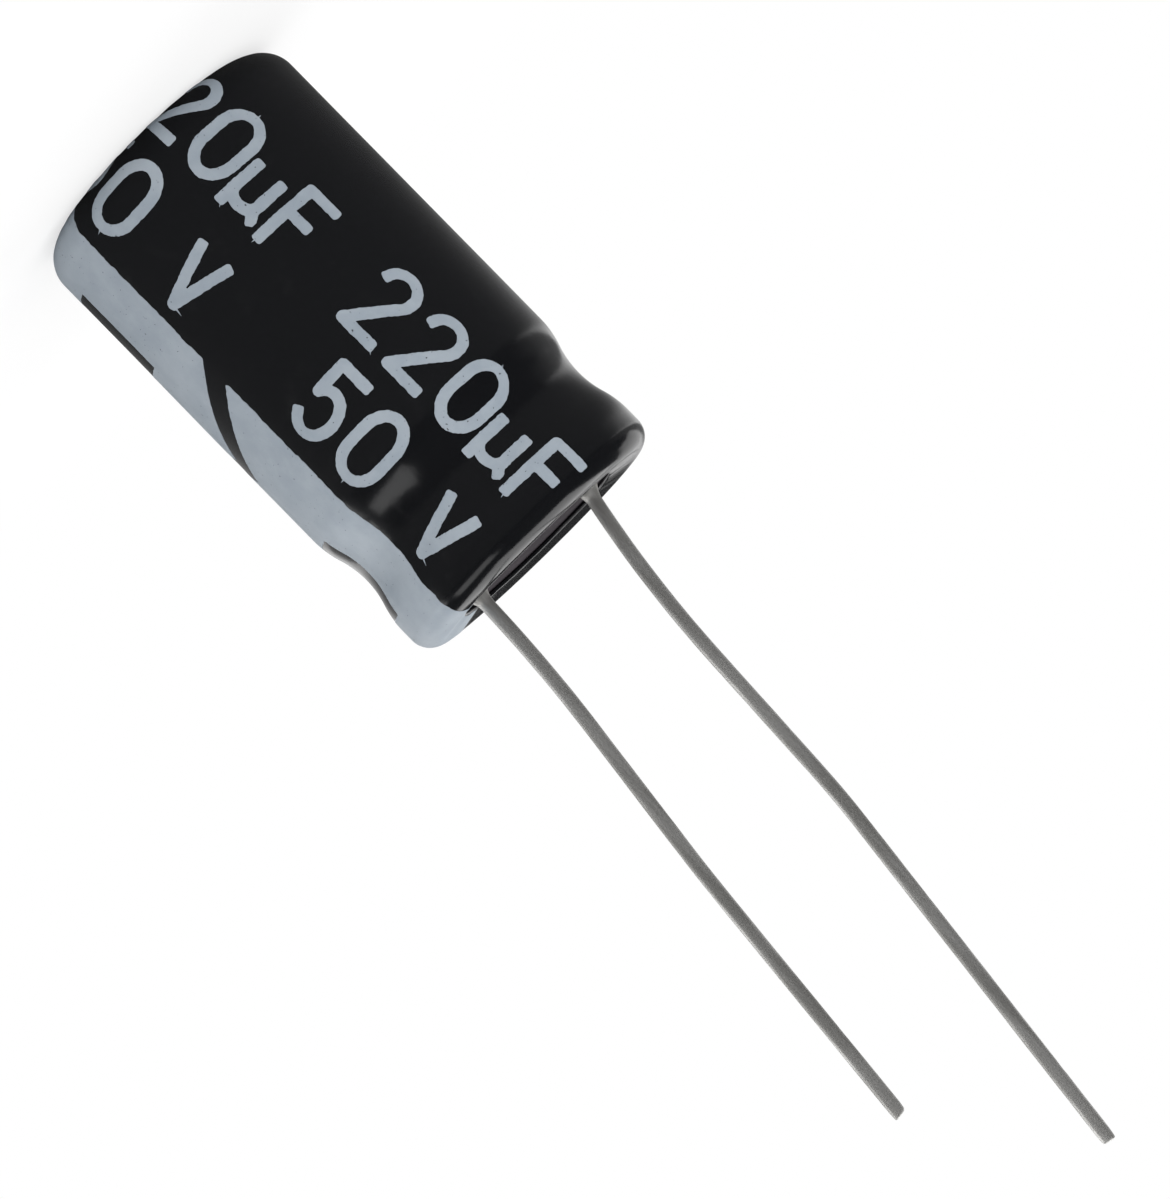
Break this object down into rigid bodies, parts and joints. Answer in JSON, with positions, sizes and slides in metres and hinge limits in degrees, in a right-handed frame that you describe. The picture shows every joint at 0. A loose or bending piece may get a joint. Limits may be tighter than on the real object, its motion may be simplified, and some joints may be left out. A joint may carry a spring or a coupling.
{
  "type": "radial electrolytic capacitor",
  "caption": "Cylindrical radial capacitor in a black shrink sleeve with a light polarity stripe, a rolled rim over a rubber bung, and long, slightly bent wire leads of unequal length.",
  "frame": {"origin": "middle of the ring on the closed end that it stands on", "axes": "+Z along the can's axis from the closed end towards the leads; +X from the axis towards the negative lead and the polarity stripe; the leads lie in the XZ plane"},
  "size_m": [0.0104, 0.0104, 0.0445],
  "materials": {
    "can_aluminium": "satin, drawn sheet",
    "sleeve_pvc": "satin, heat-shrunk",
    "stripe_ink": "matt printed ink",
    "bung_rubber": "matt, moulded",
    "tinned_wire": "satin tin plate",
    "tab_aluminium": "bright, stamped",
    "separator_paper": "matt, soaked with electrolyte",
    "anode_aluminium": "matt, deeply etched",
    "cathode_aluminium": "matt, etched",
    "tape_film": "semi-gloss film"
  },
  "bodies": {
    "root": {"can": "can_aluminium", "sleeve": "sleeve_pvc", "polarity_stripe": "stripe_ink", "seal_bung": "bung_rubber", "positive_lead": "tinned_wire", "negative_lead": "tinned_wire", "positive_tab": "tab_aluminium", "negative_tab": "tab_aluminium", "inner_separator": "separator_paper", "anode_foil": "anode_aluminium", "outer_separator": "separator_paper", "cathode_foil": "cathode_aluminium", "winding_tape": "tape_film"}
  },
  "joints": []
}
